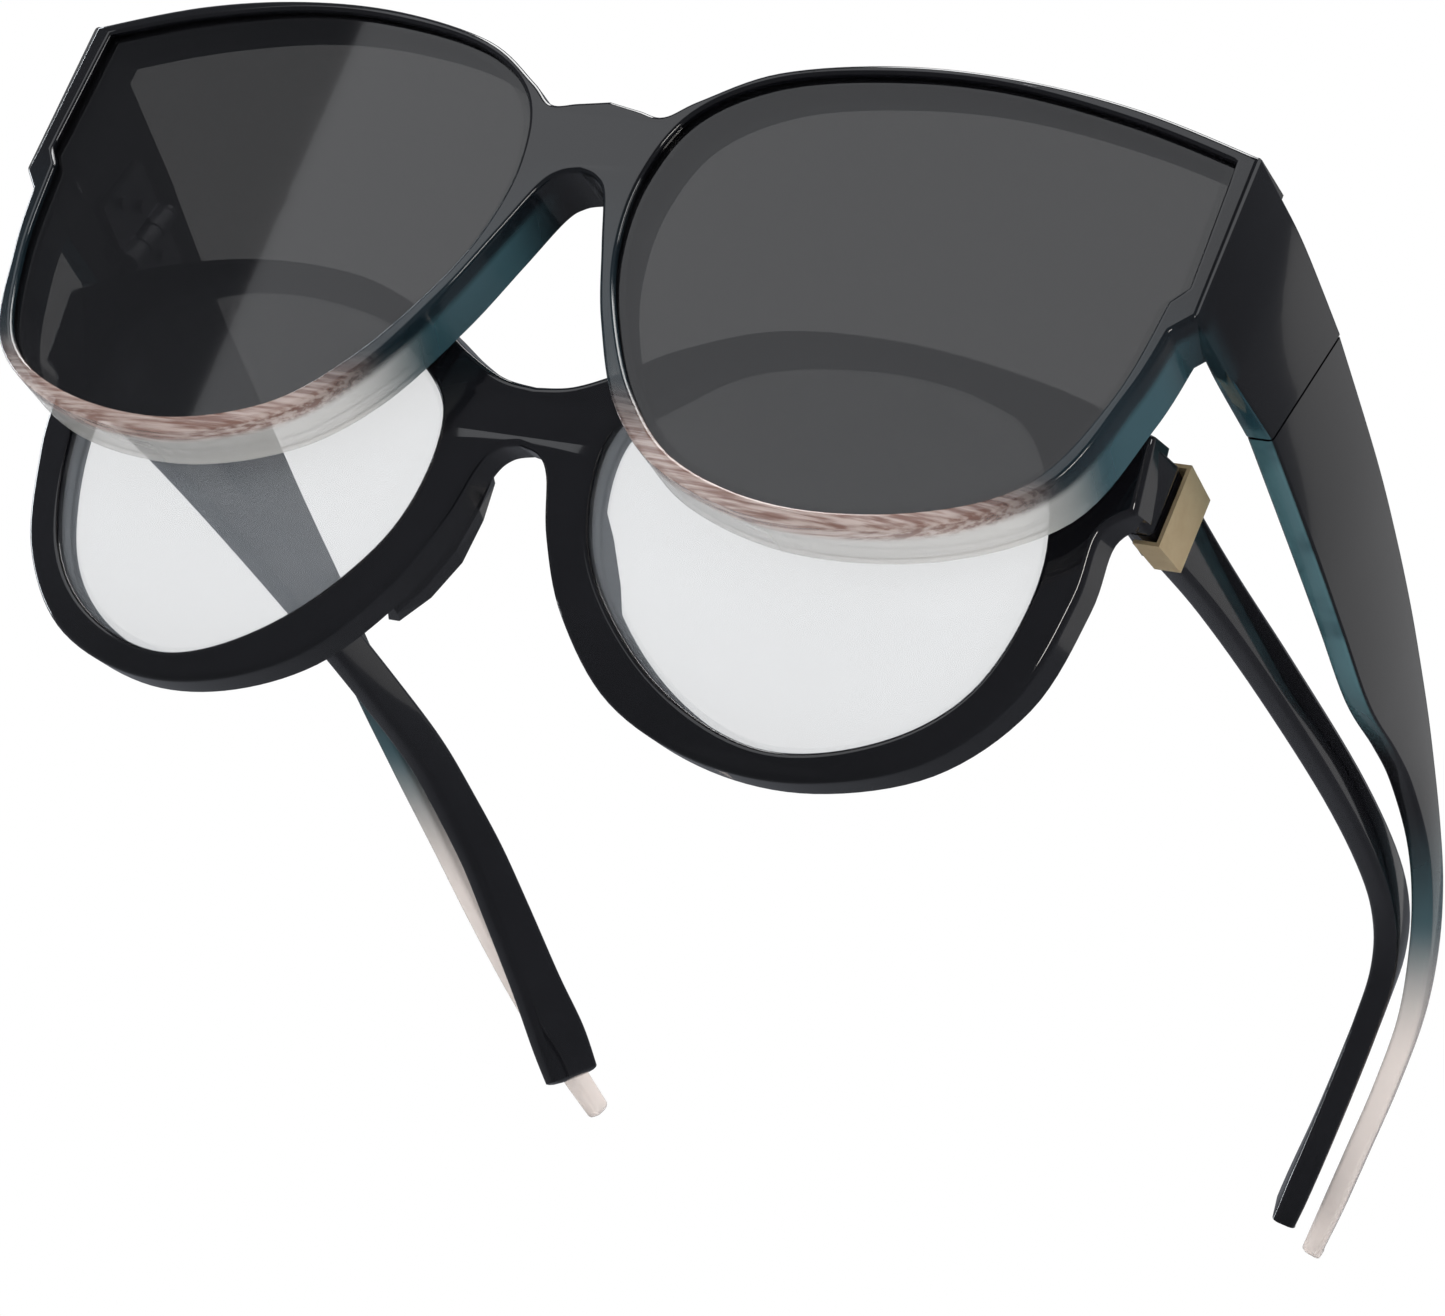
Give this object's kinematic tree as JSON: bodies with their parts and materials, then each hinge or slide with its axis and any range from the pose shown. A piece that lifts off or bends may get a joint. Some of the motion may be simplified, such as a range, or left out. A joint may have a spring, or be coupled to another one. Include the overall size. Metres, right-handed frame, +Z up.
{
  "type": "fit-over sun glasses on spectacles",
  "caption": "Wraparound sun glasses with dark lenses and deep side panels, standing over clear-lensed spectacles, both with folding temples.",
  "frame": {"origin": "middle of the base rectangle, on the table the two pairs stand on", "axes": "+X across the fronts, +Y back along the temples, +Z up; left in a name is -X, the left seen from the front"},
  "size_m": [0.1546, 0.147, 0.078],
  "materials": {
    "sun_plastic": "polished clear plastic shaded from black at the top to clear pink-brown at the foot and at the temple tips",
    "sun_lens": "smoke grey tint, glossy",
    "sun_hinge_steel": "satin",
    "spec_acetate": "polished black",
    "spec_lens": "clear, coated",
    "spec_hinge_steel": "satin",
    "trim_gold": "polished gold colour"
  },
  "bodies": {
    "spectacles_front": {"spec_front": "spec_acetate", "spec_lens_left": "spec_lens", "spec_lens_right": "spec_lens", "spec_nose_pad_left": "spec_acetate", "spec_nose_pad_right": "spec_acetate", "spec_hinge_front_leaf_left": "spec_hinge_steel", "spec_hinge_screw_left": "spec_hinge_steel", "spec_front_rivet_left_upper": "spec_hinge_steel", "spec_front_rivet_left_lower": "spec_hinge_steel", "spec_hinge_front_leaf_right": "spec_hinge_steel", "spec_hinge_screw_right": "spec_hinge_steel", "spec_front_rivet_right_upper": "spec_hinge_steel", "spec_front_rivet_right_lower": "spec_hinge_steel"},
    "sun_front": {"sun_front": "sun_plastic", "sun_lens_left": "sun_lens", "sun_lens_right": "sun_lens", "sun_hinge_front_leaf_left": "sun_hinge_steel", "sun_hinge_screw_left": "sun_hinge_steel", "sun_front_rivet_left_upper": "sun_hinge_steel", "sun_front_rivet_left_lower": "sun_hinge_steel", "sun_hinge_front_leaf_right": "sun_hinge_steel", "sun_hinge_screw_right": "sun_hinge_steel", "sun_front_rivet_right_upper": "sun_hinge_steel", "sun_front_rivet_right_lower": "sun_hinge_steel"},
    "spec_temple_left": {"spec_temple_left": "spec_acetate", "spec_hinge_temple_leaf_left": "spec_hinge_steel", "spec_temple_rivet_left_upper": "spec_hinge_steel", "spec_temple_rivet_left_lower": "spec_hinge_steel", "spec_trim_left": "trim_gold"},
    "spec_temple_right": {"spec_temple_right": "spec_acetate", "spec_hinge_temple_leaf_right": "spec_hinge_steel", "spec_temple_rivet_right_upper": "spec_hinge_steel", "spec_temple_rivet_right_lower": "spec_hinge_steel", "spec_trim_right": "trim_gold"},
    "sun_temple_left": {"sun_temple_left": "sun_plastic", "sun_hinge_temple_leaf_left": "sun_hinge_steel", "sun_temple_rivet_left_upper": "sun_hinge_steel", "sun_temple_rivet_left_lower": "sun_hinge_steel"},
    "sun_temple_right": {"sun_temple_right": "sun_plastic", "sun_hinge_temple_leaf_right": "sun_hinge_steel", "sun_temple_rivet_right_upper": "sun_hinge_steel", "sun_temple_rivet_right_lower": "sun_hinge_steel"}
  },
  "joints": [
    {"name": "sun_lift", "type": "slide", "parent": "spectacles_front", "child": "sun_front", "axis": [0, -0.2, 0.9798], "range_m": [0, 0.06]},
    {"name": "sun_temple_left_fold", "type": "hinge", "parent": "sun_front", "child": "sun_temple_left", "pos_m": [-0.0723, -0.04349, 0.05742], "axis": [0, -0.373, -0.9278], "range_deg": [0, 66]},
    {"name": "spec_temple_left_fold", "type": "hinge", "parent": "spectacles_front", "child": "spec_temple_left", "pos_m": [-0.065, -0.05201, 0.03966], "axis": [0, -0.0941, -0.9956], "range_deg": [0, 66]},
    {"name": "sun_temple_right_fold", "type": "hinge", "parent": "sun_front", "child": "sun_temple_right", "pos_m": [0.0723, -0.04349, 0.05742], "axis": [0, 0.373, 0.9278], "range_deg": [0, 79]},
    {"name": "spec_temple_right_fold", "type": "hinge", "parent": "spectacles_front", "child": "spec_temple_right", "pos_m": [0.065, -0.05201, 0.03966], "axis": [0, 0.0941, 0.9956], "range_deg": [0, 79]}
  ],
  "couplings": [
    {"joint": "spec_temple_left_fold", "follows": "sun_temple_left_fold", "ratio": 1},
    {"joint": "spec_temple_right_fold", "follows": "sun_temple_right_fold", "ratio": 1}
  ]
}
